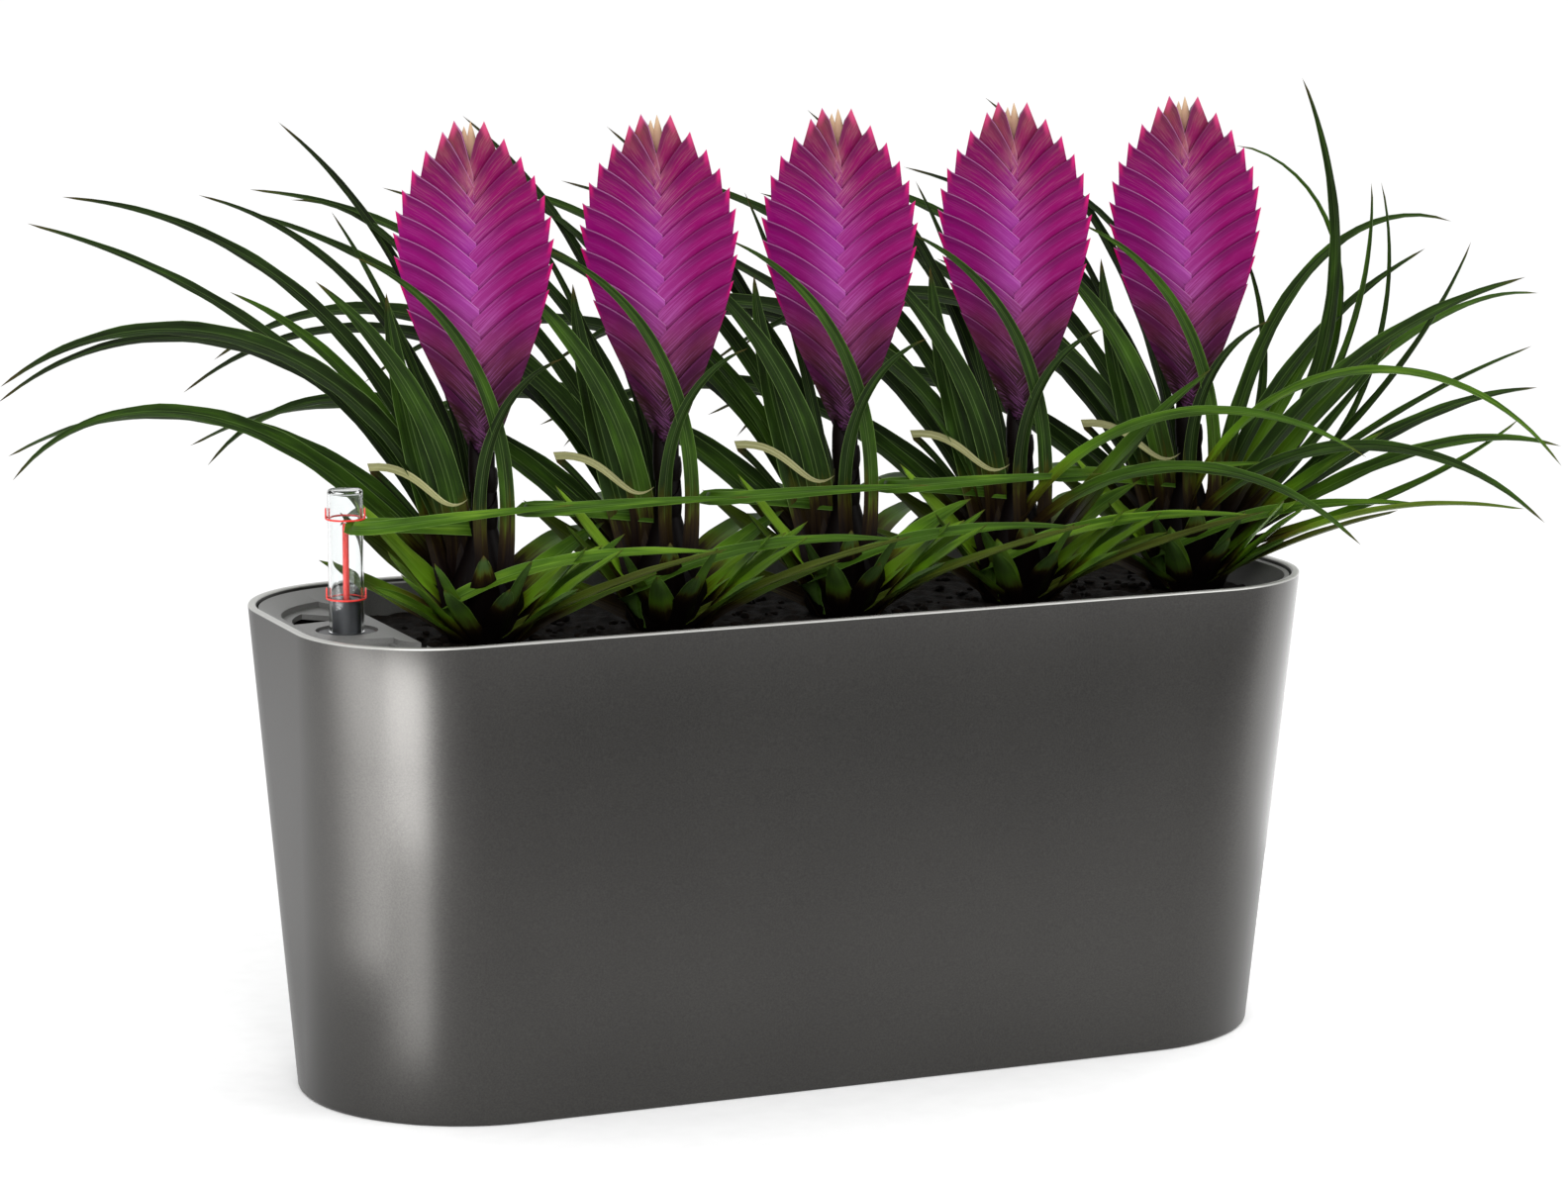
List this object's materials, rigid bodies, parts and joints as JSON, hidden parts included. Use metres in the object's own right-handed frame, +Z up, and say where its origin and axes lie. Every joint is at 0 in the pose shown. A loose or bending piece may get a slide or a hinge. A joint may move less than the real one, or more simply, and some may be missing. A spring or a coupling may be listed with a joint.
{
  "type": "potted tillandsia",
  "caption": "Long round-ended planter of flowering tillandsias with flat pink flower heads, arching leaves and a water-level indicator.",
  "frame": {"origin": "middle of the planter's flat base, on the surface that it stands on", "axes": "+Z up, +X along the planter's length, away from the water-level indicator"},
  "size_m": [0.6218, 0.295, 0.3654],
  "materials": {
    "charcoal_lacquer": "satin metallic lacquer",
    "liner_plastic": "satin",
    "granulate": "rough",
    "soil": "rough",
    "dark_plastic": "satin",
    "clear_plastic": "clear",
    "red_plastic": "satin",
    "leaf": "satin",
    "bract": "satin"
  },
  "bodies": {
    "planter": {"planter_shell": "charcoal_lacquer", "liner": "liner_plastic", "drainage_granulate": "granulate", "substrate": "soil", "indicator_housing": "dark_plastic", "indicator_tube": "clear_plastic", "indicator_lower_mark": "red_plastic", "indicator_upper_mark": "red_plastic", "plant_1_rosette": "leaf", "plant_2_rosette": "leaf", "plant_3_rosette": "leaf", "plant_4_rosette": "leaf", "plant_5_rosette": "leaf", "plant_1_flower_head": "bract", "plant_2_flower_head": "bract", "plant_3_flower_head": "bract", "plant_4_flower_head": "bract", "plant_5_flower_head": "bract"},
    "float": {"indicator_float": "red_plastic"}
  },
  "joints": [
    {"name": "float_slide", "type": "slide", "parent": "planter", "child": "float", "axis": [0, 0, 1], "range_m": [-0.03, 0.002]}
  ]
}
